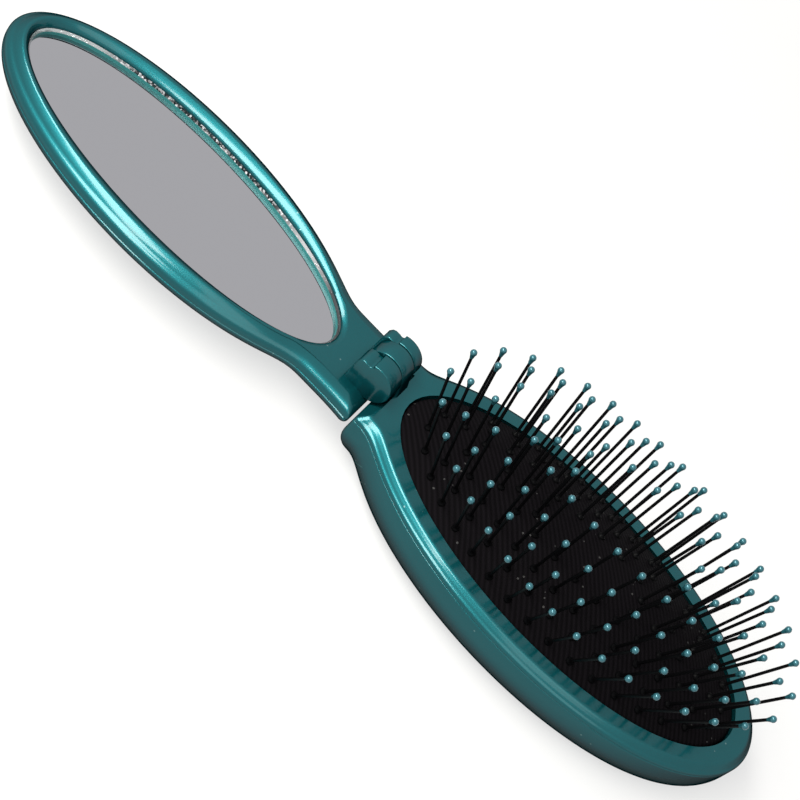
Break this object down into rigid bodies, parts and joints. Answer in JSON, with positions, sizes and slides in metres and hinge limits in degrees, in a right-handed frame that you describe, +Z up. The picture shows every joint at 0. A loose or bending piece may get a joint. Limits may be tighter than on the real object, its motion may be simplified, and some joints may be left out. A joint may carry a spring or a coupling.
{
  "type": "folding hairbrush with mirror",
  "caption": "Compact hairbrush that folds at a knuckle hinge: oval half with a rubber cushion and ball-tipped bristles, oval half with a mirror.",
  "frame": {"origin": "on the resting plane, at the fold line between the two halves", "axes": "+X towards the tip of the brush half, +Z up through the bristles, Y along the hinge axis"},
  "size_m": [0.1994, 0.052, 0.0389],
  "materials": {
    "teal_paint": "pearlescent satin paint on moulded plastic",
    "black_plastic": "matte",
    "cushion_rubber": "matte, finely ribbed",
    "bristle_nylon": "satin",
    "tip_coating": "glossy droplet",
    "mirror_silver": "silvered behind glass",
    "tape_foam": "adhesive sheet",
    "pin_steel": "drawn wire"
  },
  "bodies": {
    "brush": {"brush_shell": "teal_paint", "brush_bezel": "teal_paint", "cushion_retainer": "black_plastic"},
    "mirror": {"mirror_frame": "teal_paint", "mirror_back": "teal_paint", "mirror_glass": "mirror_silver", "mirror_tape": "tape_foam", "hinge_pin": "pin_steel"},
    "bristle_bed": {"cushion": "cushion_rubber", "pins_row_1": "bristle_nylon", "pins_row_2": "bristle_nylon", "pins_row_3": "bristle_nylon", "pins_row_4": "bristle_nylon", "pins_row_5": "bristle_nylon", "tips_row_1": "tip_coating", "tips_row_2": "tip_coating", "tips_row_3": "tip_coating", "tips_row_4": "tip_coating", "tips_row_5": "tip_coating"}
  },
  "joints": [
    {"name": "fold", "type": "hinge", "parent": "brush", "child": "mirror", "pos_m": [-0.00222, 0.0001, 0.01807], "axis": [0, 1, 0], "range_deg": [0, 180]},
    {"name": "bristle_sink", "type": "slide", "parent": "brush", "child": "bristle_bed", "axis": [0, 0, 1], "range_m": [-0.0172, 0], "deforming": ["cushion", "pins_row_1", "tips_row_1", "pins_row_2", "tips_row_2", "pins_row_3", "tips_row_3"]}
  ],
  "couplings": [
    {"joint": "bristle_sink", "follows": "fold", "m_per_rad": -0.0054749}
  ]
}
